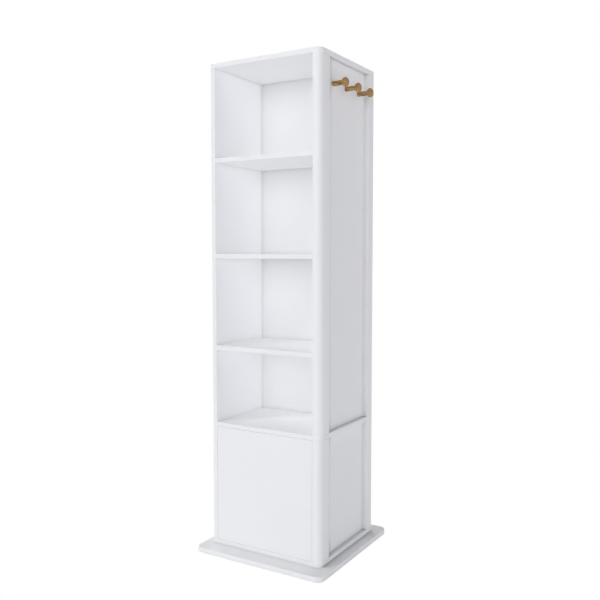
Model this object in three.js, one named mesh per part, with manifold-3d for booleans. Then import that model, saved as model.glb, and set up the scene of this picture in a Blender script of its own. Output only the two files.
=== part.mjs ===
// A tall rotating bookcase tower on a flat base plate, in millimetres, +Z up.
// The origin is on the floor, under the middle of the base plate. The open bays and the door face -Y,
// the framed side panels with the pegs face +X, and the whole tower turns about +Z on a ball-bearing
// turntable that is let into the base plate.
import * as THREE from "three";
import { mergeVertices } from "three/addons/utils/BufferGeometryUtils.js";
import Module from "manifold-3d";

const wasm = await Module();
wasm.setup();

// ---- Driving dimensions ----

const HEIGHT = 1650;
const WIDTH = 422;
const DEPTH = 375;
const FRAME_BOARD = 16; // top board and left side panel
const INNER_BOARD = 15; // mid and bottom boards, shelves and door
const CORNER_RADIUS = 20; // the vertical corner that the boards and posts share

const BASE_WIDTH = 492;
const BASE_DEPTH = 492;
const BASE_THICKNESS = 18;
const BASE_CORNER_RADIUS = 24;
const RUNNING_GAP = 1; // between the base plate and the tower

const POST_WIDTH = 30;
const POST_DEPTH = 58.5;
const STILE_DEPTH = 37.5;
const PANEL_THICKNESS = 12.5;
const PANEL_RECESS = POST_WIDTH - PANEL_THICKNESS;
const BAY_DEPTH = 280;
const INNER_BACK_THICKNESS = 6;

const MID_BOARD_TOP = 444;
const SHELF_TOPS = [1337.5, 1017.5, 707.5];

const DOOR_GAP = 1;
const HINGE_GAP = 1.5; // between the left panel and the door's hinge edge
const HINGE_EDGE_RADIUS = 1.5; // the front hinge edge is round, so that it clears the panel as it turns
const PIVOT_INSET = 20; // from the door's hinge edge to the pivot axis
const PIN_RADIUS = 3;
const PIN_DEPTH_IN_BOARD = 8;
const PIN_DEPTH_IN_DOOR = 10.5;
const PIN_COLLAR_RADIUS = 5.5;
const BUSHING_RADIUS = 4.7;
const BUSHING_LENGTH = 12;
const CLEARANCE = 0.3; // round pieces in round holes

const PEG_SPACING = 90;
const PEG_HEIGHT = 1559;
const PEG_STEM_RADIUS = 8;
const PEG_HEAD_RADIUS = 15.5;
const PEG_HEAD_HALF_LENGTH = 10;
const PEG_LENGTH = 56;
const PEG_TENON_RADIUS = 4.7;

const RING_OUTER_RADIUS = 76;
const RING_INNER_RADIUS = 45;
const RING_THICKNESS = 2.5;
const POCKET_DEPTH = 8;
const POCKET_MARGIN = 3;
const BALL_RADIUS = 3;
const BALL_COUNT = 16;
const CAGE_THICKNESS = 2;
const CAGE_WIDTH = 11;
const RING_FASTENERS = 4;
const RING_SCREW_CIRCLE = 52;
const RING_BOLT_CIRCLE = 69;
const ROUND_STEPS = 48; // sides of the large rings

const LATCH_HEIGHT = 231;
const LATCH_WIDTH = 16;
const LATCH_LENGTH = 54;
const LATCH_TALL = 18;
const LATCH_SETBACK = 14.5; // from the door's inner face to the latch housing
const PLUNGER_RADIUS = 4;
const STRIKE_RADIUS = 7;
const STRIKE_THICKNESS = 1.5;

// ---- Levels and faces that follow from them ----

const LEFT = -WIDTH / 2;
const RIGHT = WIDTH / 2;
const FRONT = -DEPTH / 2;
const BACK = DEPTH / 2;
const INNER_LEFT = LEFT + FRAME_BOARD;
const INNER_RIGHT = RIGHT - POST_WIDTH;
const POST_BACK = FRONT + POST_DEPTH;
const STILE_FRONT = BACK - STILE_DEPTH;
const INNER_BACK_FRONT = FRONT + BAY_DEPTH;

const BODY_BOTTOM = BASE_THICKNESS + RUNNING_GAP;
const FLOOR_TOP = BODY_BOTTOM + INNER_BOARD;
const MID_BOARD_BOTTOM = MID_BOARD_TOP - INNER_BOARD;
const TOP_BOARD_BOTTOM = HEIGHT - FRAME_BOARD;
const UPPER = [MID_BOARD_TOP, TOP_BOARD_BOTTOM];
const LOWER = [FLOOR_TOP, MID_BOARD_BOTTOM];

const DOOR_LEFT = INNER_LEFT + HINGE_GAP;
const DOOR_RIGHT = INNER_RIGHT - DOOR_GAP;
const DOOR_BACK = FRONT + INNER_BOARD;
const DOOR_BOTTOM = FLOOR_TOP + DOOR_GAP;
const DOOR_TOP = MID_BOARD_BOTTOM - DOOR_GAP;
const PIVOT_X = DOOR_LEFT + PIVOT_INSET;
const PIVOT_Y = FRONT + INNER_BOARD / 2;

const POCKET_FLOOR = BASE_THICKNESS - POCKET_DEPTH;
const UPPER_RING_BOTTOM = BODY_BOTTOM - RING_THICKNESS;
const BALL_LEVEL = (POCKET_FLOOR + BODY_BOTTOM) / 2;
const BALL_CIRCLE = (RING_OUTER_RADIUS + RING_INNER_RADIUS) / 2;

// ---- Finishes ----

const whitePaint = new THREE.MeshStandardMaterial({ color: 0xeceef1, roughness: 0.55, metalness: 0 });
const beech = new THREE.MeshStandardMaterial({ color: 0xb98546, roughness: 0.5, metalness: 0 });
const steel = new THREE.MeshStandardMaterial({ color: 0xb4b7ba, roughness: 0.35, metalness: 0.9 });
const whitePlastic = new THREE.MeshStandardMaterial({ color: 0xe4e4e2, roughness: 0.45, metalness: 0 });

// ---- Geometry helpers ----

// The solid of a closed geometry, ready to be cut or joined.
function solidOf(geometry) {
  const bare = geometry.clone();
  bare.deleteAttribute("normal");
  bare.deleteAttribute("uv");
  const merged = mergeVertices(bare, 1e-3);
  const vertProperties = new Float32Array(merged.getAttribute("position").array);
  const triVerts = new Uint32Array(merged.index.array);
  return new wasm.Manifold(new wasm.Mesh({ numProp: 3, vertProperties, triVerts }));
}

function geometryOf(solid) {
  const mesh = solid.getMesh();
  const geometry = new THREE.BufferGeometry();
  geometry.setAttribute("position", new THREE.BufferAttribute(mesh.vertProperties, 3));
  geometry.setIndex(new THREE.BufferAttribute(mesh.triVerts, 1));
  geometry.computeVertexNormals();
  return geometry;
}

function cut(geometry, cutters) {
  return geometryOf(cutters.reduce((solid, cutter) => solid.subtract(solidOf(cutter)), solidOf(geometry)));
}

function join(first, others) {
  return geometryOf(others.reduce((solid, other) => solid.add(solidOf(other)), solidOf(first)));
}

function middle([low, high]) {
  return (low + high) / 2;
}

// A box between two faces along each axis, in the tower's own coordinates.
function boxBetween(xs, ys, zs) {
  const box = new THREE.BoxGeometry(xs[1] - xs[0], ys[1] - ys[0], zs[1] - zs[0]);
  return box.translate(middle(xs), middle(ys), middle(zs));
}

// A round body from a profile of [radius, height] points, which runs from its bottom to its top.
function turned(profile, segments = 16) {
  const points = profile.map(([radius, height]) => new THREE.Vector2(radius, height));
  return new THREE.LatheGeometry(points, segments).rotateX(Math.PI / 2);
}

function rod(radius, low, high, segments = 16) {
  return turned([[0, low], [radius, low], [radius, high], [0, high]], segments);
}

function tube(inner, outer, low, high, segments = 16) {
  return turned([[inner, low], [outer, low], [outer, high], [inner, high], [inner, low]], segments);
}

// Turns a body that stands along +Z so that it points along +X.
function alongX(geometry) {
  return geometry.rotateY(Math.PI / 2);
}

// Turns a body that stands along +Z so that it points along -Y.
function alongMinusY(geometry) {
  return geometry.rotateX(Math.PI / 2);
}

function named(name, geometry, material, x = 0, y = 0, z = 0) {
  const mesh = new THREE.Mesh(geometry, material);
  mesh.name = name;
  mesh.position.set(x, y, z);
  return mesh;
}

// A flat board given by its faces: its geometry is centred, and the mesh is placed at its middle.
function board(name, xs, ys, zs, material = whitePaint) {
  const geometry = new THREE.BoxGeometry(xs[1] - xs[0], ys[1] - ys[0], zs[1] - zs[0]);
  return named(name, geometry, material, middle(xs), middle(ys), middle(zs));
}

// Points spread evenly on a circle, the first one at the given angle.
function aroundCircle(radius, count, start) {
  return Array.from({ length: count }, (_, i) => {
    const angle = start + (2 * Math.PI * i) / count;
    return [radius * Math.cos(angle), radius * Math.sin(angle)];
  });
}

function extrudeUp(shape, height, curveSegments = 8) {
  return new THREE.ExtrudeGeometry(shape, { depth: height, bevelEnabled: false, curveSegments });
}

// The outline of a horizontal frame board: its front right corner is round, and its back right corner
// is cut away around the rear stile when the board runs through between the posts.
function frameBoardShape(left, notched) {
  const shape = new THREE.Shape();
  shape.moveTo(left, FRONT);
  shape.lineTo(RIGHT - CORNER_RADIUS, FRONT);
  shape.absarc(RIGHT - CORNER_RADIUS, FRONT + CORNER_RADIUS, CORNER_RADIUS, -Math.PI / 2, 0, false);
  if (notched) {
    shape.lineTo(RIGHT, STILE_FRONT);
    shape.lineTo(INNER_RIGHT, STILE_FRONT);
    shape.lineTo(INNER_RIGHT, BACK);
  } else {
    shape.lineTo(RIGHT, BACK);
  }
  shape.lineTo(left, BACK);
  shape.closePath();
  return shape;
}

function postShape() {
  const shape = new THREE.Shape();
  shape.moveTo(INNER_RIGHT, FRONT);
  shape.lineTo(RIGHT - CORNER_RADIUS, FRONT);
  shape.absarc(RIGHT - CORNER_RADIUS, FRONT + CORNER_RADIUS, CORNER_RADIUS, -Math.PI / 2, 0, false);
  shape.lineTo(RIGHT, POST_BACK);
  shape.lineTo(INNER_RIGHT, POST_BACK);
  shape.closePath();
  return shape;
}

function roundedRectangle(width, depth, radius) {
  const x = width / 2 - radius;
  const y = depth / 2 - radius;
  const shape = new THREE.Shape();
  shape.absarc(x, y, radius, 0, Math.PI / 2, false);
  shape.absarc(-x, y, radius, Math.PI / 2, Math.PI, false);
  shape.absarc(-x, -y, radius, Math.PI, 1.5 * Math.PI, false);
  shape.absarc(x, -y, radius, 1.5 * Math.PI, 2 * Math.PI, false);
  shape.closePath();
  return shape;
}

// ---- Fasteners ----

const SCREW = { headRadius: 3.6, shankRadius: 1.6, headHeight: 1.9, length: 8 };
const BOLT = { headRadius: 5, shankRadius: 2, headHeight: 2.2, length: 17 };
const SMALL_SCREW = { headRadius: 3, shankRadius: 1.5, headHeight: 1.8, length: 12 };

// A flat-headed screw hanging down from z = 0, grown all round by the given allowance.
function countersunk({ headRadius, shankRadius, headHeight, length }, allowance = 0) {
  const profile = [
    [0, -length - allowance],
    [shankRadius + allowance, -length - allowance],
    [shankRadius + allowance, -headHeight - allowance],
    [headRadius + allowance, 0],
    [0, 0],
  ];
  return turned(profile, 12);
}

// A low round-headed bolt: its head stands on z = 0 and its shank hangs down.
function roundHead({ headRadius, shankRadius, headHeight, length }) {
  const profile = [
    [0, -length],
    [shankRadius, -length],
    [shankRadius, 0],
    [headRadius, 0],
    [headRadius * 0.92, headHeight * 0.6],
    [headRadius * 0.6, headHeight],
    [0, headHeight],
  ];
  return turned(profile, 12);
}

const ringScrewPlaces = aroundCircle(RING_SCREW_CIRCLE, RING_FASTENERS, Math.PI / 4);
const ringBoltPlaces = aroundCircle(RING_BOLT_CIRCLE, RING_FASTENERS, 0);
const ringScrewTop = POCKET_FLOOR + RING_THICKNESS - 0.1; // the heads lie just below the ring's face

function boltHole(x, y, low, high) {
  return rod(BOLT.shankRadius + 0.4, low, high, 12).translate(x, y, 0);
}

// ---- Base plate and turntable ----

function basePlate() {
  const plate = extrudeUp(roundedRectangle(BASE_WIDTH, BASE_DEPTH, BASE_CORNER_RADIUS), BASE_THICKNESS, 10);
  const pocket = rod(RING_OUTER_RADIUS + POCKET_MARGIN, POCKET_FLOOR, BASE_THICKNESS + 1, ROUND_STEPS);
  const pilots = ringScrewPlaces.map(([x, y]) =>
    countersunk(SCREW, CLEARANCE).translate(x, y, ringScrewTop),
  );
  return named("base_plate", cut(plate, [pocket, ...pilots]), whitePaint);
}

// A flat steel ring with a shallow ball groove: the groove is on its top, or on its underside when flipped.
function bearingRing(low, flipped) {
  const high = low + RING_THICKNESS;
  const grooveRadius = BALL_RADIUS + CLEARANCE;
  const face = flipped ? low : high;
  const rise = BALL_LEVEL - face;
  const half = Math.sqrt(grooveRadius ** 2 - rise ** 2);
  const reach = Math.atan2(half, Math.abs(rise));
  const side = flipped ? 1 : -1;
  const groove = [-1, -0.5, 0, 0.5, 1].map((share) => [
    BALL_CIRCLE + grooveRadius * Math.sin(share * reach),
    BALL_LEVEL + side * grooveRadius * Math.cos(share * reach),
  ]);
  const underside = flipped ? groove : [];
  const upperSide = flipped ? [] : groove.reverse();
  const profile = [
    [RING_INNER_RADIUS, low],
    ...underside,
    [RING_OUTER_RADIUS, low],
    [RING_OUTER_RADIUS, high],
    ...upperSide,
    [RING_INNER_RADIUS, high],
  ];
  return turned([...profile, profile[0]], ROUND_STEPS);
}

function lowerRing() {
  const holes = ringScrewPlaces.map(([x, y]) =>
    countersunk(SCREW, CLEARANCE).translate(x, y, POCKET_FLOOR + RING_THICKNESS),
  );
  return named("turntable_lower_ring", cut(bearingRing(POCKET_FLOOR, false), holes), steel);
}

function upperRing() {
  const holes = ringBoltPlaces.map(([x, y]) => boltHole(x, y, UPPER_RING_BOTTOM - 1, BODY_BOTTOM + 1));
  return named("turntable_upper_ring", cut(bearingRing(UPPER_RING_BOTTOM, true), holes), steel);
}

// The flat cage that carries the ring of balls at half the tower's speed.
function ballCage() {
  const low = BALL_LEVEL - CAGE_THICKNESS / 2;
  const high = BALL_LEVEL + CAGE_THICKNESS / 2;
  const ring = tube(BALL_CIRCLE - CAGE_WIDTH / 2, BALL_CIRCLE + CAGE_WIDTH / 2, low, high, ROUND_STEPS);
  const balls = aroundCircle(BALL_CIRCLE, BALL_COUNT, 0).map(([x, y]) =>
    new THREE.SphereGeometry(BALL_RADIUS, 8, 6).translate(x, y, BALL_LEVEL),
  );
  return named("ball_cage", join(ring, balls), steel);
}

function ringScrews() {
  return ringScrewPlaces.map(([x, y], i) =>
    named(`ring_screw_${i + 1}`, countersunk(SCREW), steel, x, y, ringScrewTop),
  );
}

function turntableBolts() {
  return ringBoltPlaces.map(([x, y], i) =>
    named(`turntable_bolt_${i + 1}`, roundHead(BOLT), steel, x, y, FLOOR_TOP),
  );
}

// ---- Carcass ----

function pivotHole(low, high) {
  return rod(PIN_RADIUS + CLEARANCE, low, high).translate(PIVOT_X, PIVOT_Y, 0);
}

function bottomBoard() {
  const slab = extrudeUp(frameBoardShape(LEFT, false), INNER_BOARD).translate(0, 0, BODY_BOTTOM);
  const boltHoles = ringBoltPlaces.map(([x, y]) => boltHole(x, y, BODY_BOTTOM - 1, FLOOR_TOP + 1));
  const pivot = pivotHole(FLOOR_TOP - PIN_DEPTH_IN_BOARD - CLEARANCE, FLOOR_TOP + 1);
  return named("bottom_board", cut(slab, [...boltHoles, pivot]), whitePaint);
}

function midBoard() {
  const slab = extrudeUp(frameBoardShape(INNER_LEFT, true), INNER_BOARD).translate(0, 0, MID_BOARD_BOTTOM);
  const pivot = pivotHole(MID_BOARD_BOTTOM - 1, MID_BOARD_BOTTOM + PIN_DEPTH_IN_BOARD + CLEARANCE);
  return named("mid_board", cut(slab, [pivot]), whitePaint);
}

function topBoard() {
  const slab = extrudeUp(frameBoardShape(LEFT, false), FRAME_BOARD);
  return named("top_board", slab, whitePaint, 0, 0, TOP_BOARD_BOTTOM);
}

function cornerPost(name, [low, high], cutters = []) {
  const post = extrudeUp(postShape(), high - low).translate(0, 0, low);
  return named(name, cutters.length ? cut(post, cutters) : post, whitePaint);
}

const latchScrewPlaces = [-18, 18].map((offset) => ({
  y: DOOR_BACK + LATCH_SETBACK + 11,
  z: LATCH_HEIGHT + offset,
}));

function lowerPost() {
  const pilotRadius = SMALL_SCREW.shankRadius + CLEARANCE;
  const pilots = latchScrewPlaces.map(({ y, z }) =>
    alongX(rod(pilotRadius, -1, SMALL_SCREW.length, 12)).translate(INNER_RIGHT, y, z),
  );
  return cornerPost("lower_corner_post", LOWER, pilots);
}

const pegPlaces = [-1, 0, 1].map((step) => middle([POST_BACK, STILE_FRONT]) + step * PEG_SPACING);

function upperSidePanel() {
  const outside = INNER_RIGHT + PANEL_THICKNESS;
  const panel = boxBetween([INNER_RIGHT, outside], [POST_BACK, STILE_FRONT], UPPER);
  const holeRadius = PEG_TENON_RADIUS + CLEARANCE;
  const holes = pegPlaces.map((y) =>
    alongX(rod(holeRadius, -1, PANEL_THICKNESS + 1)).translate(INNER_RIGHT, y, PEG_HEIGHT),
  );
  return named("upper_side_panel", cut(panel, holes), whitePaint);
}

function carcass() {
  const inside = [INNER_LEFT, INNER_RIGHT];
  const panelFaces = [INNER_RIGHT, INNER_RIGHT + PANEL_THICKNESS];
  const innerBack = [INNER_BACK_FRONT, INNER_BACK_FRONT + INNER_BACK_THICKNESS];
  const outerBack = [BACK - PANEL_RECESS - PANEL_THICKNESS, BACK - PANEL_RECESS];
  const fullHeight = [FLOOR_TOP, TOP_BOARD_BOTTOM];
  const shelves = SHELF_TOPS.map((top, i) =>
    board(`shelf_${i + 1}`, inside, [FRONT, INNER_BACK_FRONT], [top - INNER_BOARD, top]),
  );
  return [
    bottomBoard(),
    midBoard(),
    topBoard(),
    board("left_side_panel", [LEFT, INNER_LEFT], [FRONT, BACK], fullHeight),
    cornerPost("upper_corner_post", UPPER),
    lowerPost(),
    board("rear_stile", [INNER_RIGHT, RIGHT], [STILE_FRONT, BACK], fullHeight),
    upperSidePanel(),
    board("lower_side_panel", panelFaces, [POST_BACK, STILE_FRONT], LOWER),
    board("upper_inner_back", inside, innerBack, UPPER),
    board("lower_inner_back", inside, innerBack, LOWER),
    board("upper_outer_back", inside, outerBack, UPPER),
    board("lower_outer_back", inside, outerBack, LOWER),
    ...shelves,
  ];
}

// ---- Pegs ----

// One turned peg with a tenon, a plain stem and a flattened round head.
function pegGeometry() {
  const headCentre = PEG_LENGTH - PEG_HEAD_HALF_LENGTH;
  const neck = -Math.acos(PEG_STEM_RADIUS / PEG_HEAD_RADIUS);
  const steps = 9;
  const head = Array.from({ length: steps }, (_, i) => {
    const angle = neck + ((Math.PI / 2 - neck) * i) / (steps - 1);
    return [PEG_HEAD_RADIUS * Math.cos(angle), headCentre + PEG_HEAD_HALF_LENGTH * Math.sin(angle)];
  });
  head[steps - 1][0] = 0;
  const tenon = [
    [0, 0.5 - PANEL_THICKNESS],
    [PEG_TENON_RADIUS, 0.5 - PANEL_THICKNESS],
    [PEG_TENON_RADIUS, 0],
    [PEG_STEM_RADIUS, 0],
  ];
  return alongX(turned([...tenon, ...head], 24));
}

function pegs() {
  return pegPlaces.map((y, i) =>
    named(`peg_${i + 1}`, pegGeometry(), beech, INNER_RIGHT + PANEL_THICKNESS, y, PEG_HEIGHT),
  );
}

// ---- Door and its pivots ----

function doorShape() {
  const radius = HINGE_EDGE_RADIUS;
  const shape = new THREE.Shape();
  shape.moveTo(DOOR_RIGHT, FRONT);
  shape.lineTo(DOOR_RIGHT, DOOR_BACK);
  shape.lineTo(DOOR_LEFT, DOOR_BACK);
  shape.absarc(DOOR_LEFT + radius, FRONT + radius, radius, Math.PI, 1.5 * Math.PI, false);
  shape.closePath();
  return shape;
}

function door() {
  const panel = extrudeUp(doorShape(), DOOR_TOP - DOOR_BOTTOM, 4).translate(0, 0, DOOR_BOTTOM);
  const holeRadius = BUSHING_RADIUS + CLEARANCE;
  const holeDepth = BUSHING_LENGTH + CLEARANCE;
  const bottomHole = rod(holeRadius, DOOR_BOTTOM - 1, DOOR_BOTTOM + holeDepth);
  const topHole = rod(holeRadius, DOOR_TOP - holeDepth, DOOR_TOP + 1);
  const holes = [bottomHole, topHole].map((hole) => hole.translate(PIVOT_X, PIVOT_Y, 0));
  return named("door", cut(panel, holes), whitePaint);
}

function doorBushing(name, z) {
  const sleeve = tube(PIN_RADIUS + CLEARANCE, BUSHING_RADIUS, -BUSHING_LENGTH / 2, BUSHING_LENGTH / 2);
  return named(name, sleeve, whitePlastic, PIVOT_X, PIVOT_Y, z);
}

// A pivot pin that stands up out of a board, with a collar that spaces the door from it.
function pivotPin() {
  const profile = [
    [0, -PIN_DEPTH_IN_BOARD],
    [PIN_RADIUS, -PIN_DEPTH_IN_BOARD],
    [PIN_RADIUS, 0],
    [PIN_COLLAR_RADIUS, 0],
    [PIN_COLLAR_RADIUS, DOOR_GAP - CLEARANCE],
    [PIN_RADIUS, DOOR_GAP - CLEARANCE],
    [PIN_RADIUS, DOOR_GAP + PIN_DEPTH_IN_DOOR],
    [0, DOOR_GAP + PIN_DEPTH_IN_DOOR],
  ];
  return turned(profile);
}

function doorFittings() {
  const inset = BUSHING_LENGTH / 2 + 0.1;
  const strike = alongMinusY(tube(1.2, STRIKE_RADIUS, -STRIKE_THICKNESS, 0));
  return [
    door(),
    doorBushing("door_bushing_bottom", DOOR_BOTTOM + inset),
    doorBushing("door_bushing_top", DOOR_TOP - inset),
    named("latch_strike", strike, steel, INNER_RIGHT - LATCH_WIDTH / 2, DOOR_BACK, LATCH_HEIGHT),
  ];
}

function pivotPins() {
  const hanging = pivotPin().rotateX(Math.PI);
  return [
    named("pivot_pin_bottom", pivotPin(), steel, PIVOT_X, PIVOT_Y, FLOOR_TOP),
    named("pivot_pin_top", hanging, steel, PIVOT_X, PIVOT_Y, MID_BOARD_BOTTOM),
  ];
}

// ---- Push latch ----

// The housing lies against the post with a screw flange, and its bore is open towards the door.
function latchHousing() {
  const front = DOOR_BACK + LATCH_SETBACK;
  const flange = 3;
  const shell = boxBetween(
    [INNER_RIGHT - LATCH_WIDTH, INNER_RIGHT],
    [front, front + LATCH_LENGTH],
    [LATCH_HEIGHT - LATCH_TALL / 2, LATCH_HEIGHT + LATCH_TALL / 2],
  );
  const plate = boxBetween(
    [INNER_RIGHT - flange, INNER_RIGHT],
    [front, front + 22],
    [LATCH_HEIGHT - 25, LATCH_HEIGHT + 25],
  );
  const bore = alongMinusY(rod(PLUNGER_RADIUS + 0.5, 4 - LATCH_LENGTH, 1));
  bore.translate(INNER_RIGHT - LATCH_WIDTH / 2, front, LATCH_HEIGHT);
  const holes = latchScrewPlaces.map(({ y, z }) =>
    alongX(rod(SMALL_SCREW.shankRadius + CLEARANCE, -flange - 1, 1, 12)).translate(INNER_RIGHT, y, z),
  );
  return named("latch_housing", cut(join(shell, [plate]), [bore, ...holes]), whitePlastic);
}

function latchPlunger() {
  const tip = DOOR_BACK + STRIKE_THICKNESS + CLEARANCE;
  const length = LATCH_SETBACK - STRIKE_THICKNESS + LATCH_LENGTH - 6;
  const profile = [
    [0, -length],
    [PLUNGER_RADIUS, -length],
    [PLUNGER_RADIUS, -1],
    [PLUNGER_RADIUS - 1, 0],
    [0, 0],
  ];
  const x = INNER_RIGHT - LATCH_WIDTH / 2;
  return named("latch_plunger", alongMinusY(turned(profile)), whitePlastic, x, tip, LATCH_HEIGHT);
}

function latchScrews() {
  return latchScrewPlaces.map(({ y, z }, i) => {
    const screw = roundHead({ ...SMALL_SCREW, length: SMALL_SCREW.length + 2 }).rotateY(-Math.PI / 2);
    return named(`latch_screw_${i + 1}`, screw, steel, INNER_RIGHT - 3, y, z);
  });
}

// ---- The whole tower ----

const base = new THREE.Group();
base.add(basePlate(), lowerRing(), ...ringScrews());

const doorLeaf = new THREE.Group();
doorLeaf.add(...doorFittings());

const tower = new THREE.Group();
tower.add(
  upperRing(),
  ...turntableBolts(),
  ...carcass(),
  ...pegs(),
  ...pivotPins(),
  latchHousing(),
  ...latchScrews(),
  latchPlunger(),
  doorLeaf,
);

const bookcase = new THREE.Group();
bookcase.add(base, ballCage(), tower);

export default bookcase;
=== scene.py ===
"""A rotating bookcase tower: finished boards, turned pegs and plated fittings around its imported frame.

Everything is in metres, +Z up, with the open bays and the door towards -Y and the pegs towards +X.
"""

from __future__ import annotations

import logging
import math
from dataclasses import dataclass
from enum import Enum
from typing import Iterable, Optional, Sequence, Union

import bmesh
import bpy
from mathutils import Matrix, Vector

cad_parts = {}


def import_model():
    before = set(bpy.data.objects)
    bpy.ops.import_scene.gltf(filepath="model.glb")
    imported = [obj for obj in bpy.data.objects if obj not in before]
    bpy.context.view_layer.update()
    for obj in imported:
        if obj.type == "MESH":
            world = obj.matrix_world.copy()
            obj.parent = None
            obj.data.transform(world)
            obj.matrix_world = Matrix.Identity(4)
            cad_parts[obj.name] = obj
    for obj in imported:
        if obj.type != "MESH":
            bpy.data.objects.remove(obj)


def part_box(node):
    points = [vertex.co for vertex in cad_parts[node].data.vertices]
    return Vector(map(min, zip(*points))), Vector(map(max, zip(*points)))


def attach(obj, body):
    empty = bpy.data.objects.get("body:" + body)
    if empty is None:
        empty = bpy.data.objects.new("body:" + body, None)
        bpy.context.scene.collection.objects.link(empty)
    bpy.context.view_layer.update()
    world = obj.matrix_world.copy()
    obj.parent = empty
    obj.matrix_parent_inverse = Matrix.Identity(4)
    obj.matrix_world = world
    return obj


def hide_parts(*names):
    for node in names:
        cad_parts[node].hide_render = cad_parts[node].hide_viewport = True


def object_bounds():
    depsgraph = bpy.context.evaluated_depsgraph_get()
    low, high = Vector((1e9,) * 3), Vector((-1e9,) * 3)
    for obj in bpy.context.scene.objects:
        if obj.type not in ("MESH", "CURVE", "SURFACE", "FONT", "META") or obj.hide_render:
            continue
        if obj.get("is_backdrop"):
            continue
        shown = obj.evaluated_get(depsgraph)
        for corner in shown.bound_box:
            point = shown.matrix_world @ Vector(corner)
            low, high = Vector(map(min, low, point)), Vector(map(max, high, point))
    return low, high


log = logging.getLogger("bookcase")

Shape = bmesh.types.BMesh
Piece = bpy.types.Object
Material = bpy.types.Material
Socket = bpy.types.NodeSocket
Point2 = tuple[float, float]
Span = tuple[float, float]
Triple = tuple[float, float, float]
Colour = tuple[float, float, float]

MM = 0.001
TURNTABLE_FIXINGS = 4
LATCH_SCREWS = 2
PEG_COUNT = 3
WHOLE: Span = (0.0, 1.0)
FALLING: Span = (1.0, 0.0)
WHITE: Colour = (1.0, 1.0, 1.0)
DAYLIGHT: Colour = (0.97, 0.978, 1.0)
CREASE_SAMPLES = 8
SHARP_EDGE = 30.0
SHADING_EDGE = 34.0
FLAT_FACE = 0.99995
ON_THE_AXIS = 1e-7


class Body(Enum):
    """The moving bodies of the tower."""

    BASE = "base"
    CAGE = "ball_cage"
    TOWER = "tower"
    DOOR = "door"
    PLUNGER = "latch_plunger"


class Slot(Enum):
    """The finishes that the pieces are sold in."""

    PAINT = "white_paint"
    PEG = "peg_wood"
    STEEL = "steel"
    PLASTIC = "white_plastic"


class Craft(Enum):
    """How a piece is worked: the first word of its name and the finish that it gets."""

    LACQUERED = ("lacquered", Slot.PAINT)
    TURNED = ("turned", Slot.PEG)
    PLATED = ("plated", Slot.STEEL)
    FITTED = ("fitted", Slot.STEEL)
    MOULDED = ("moulded", Slot.PLASTIC)

    def __init__(self, word: str, slot: Slot) -> None:
        """Keeps the word and the finish apart."""
        self.word = word
        self.slot = slot


class Axis(Enum):
    """The direction that a turned or drilled round shape points along."""

    UP = "up"
    RIGHT = "right"
    FORWARD = "forward"

    def matrix(self) -> Matrix:
        """Finds the turn that lays a shape standing along +Z along this direction.

        Returns:
            The rotation.
        """
        if self is Axis.RIGHT:
            return Matrix.Rotation(math.pi / 2, 4, "Y")
        if self is Axis.FORWARD:
            return Matrix.Rotation(math.pi / 2, 4, "X")
        return Matrix.Identity(4)


class Joinery(Enum):
    """What a second shape does to a piece."""

    FUSE = "UNION"
    CUT = "DIFFERENCE"


class Coordinate(Enum):
    """The part of a place or a normal that a mask reads."""

    X = "X"
    Y = "Y"
    Z = "Z"


class Arithmetic(Enum):
    """One step of arithmetic on a value."""

    ADD = "ADD"
    TIMES = "MULTIPLY"
    POWER = "POWER"
    AT_LEAST = "MAXIMUM"

    def node(self, tree: bpy.types.NodeTree, first: Socket, second: Union[Socket, float]) -> Socket:
        """Adds the step to a node tree.

        Args:
            tree: the nodes to add it to.
            first: its first value.
            second: a number or a socket.

        Returns:
            The result.
        """
        made = tree.nodes.new("ShaderNodeMath")
        made.operation = self.value
        tree.links.new(first, made.inputs[0])
        if isinstance(second, Socket):
            tree.links.new(second, made.inputs[1])
        else:
            made.inputs[1].default_value = second
        return made.outputs[0]


# ---- Shader recipes ----


@dataclass(frozen=True)
class Grain:
    """A noise: features per metre, how many finer layers, how strong those are, and any stretch."""

    scale: float
    detail: float = 3.0
    roughness: float = 0.5
    stretch: Optional[Triple] = None


@dataclass(frozen=True)
class Relief:
    """How deep a bump is, in metres, and how much of it shows."""

    depth: float
    strength: float


@dataclass(frozen=True)
class ShadeLine:
    """Painted shade in a joint, read from ambient occlusion: how far out it reaches, how deep a joint
    takes all of it, and how much that is.
    """

    reach: float
    full: float
    most: float


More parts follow.
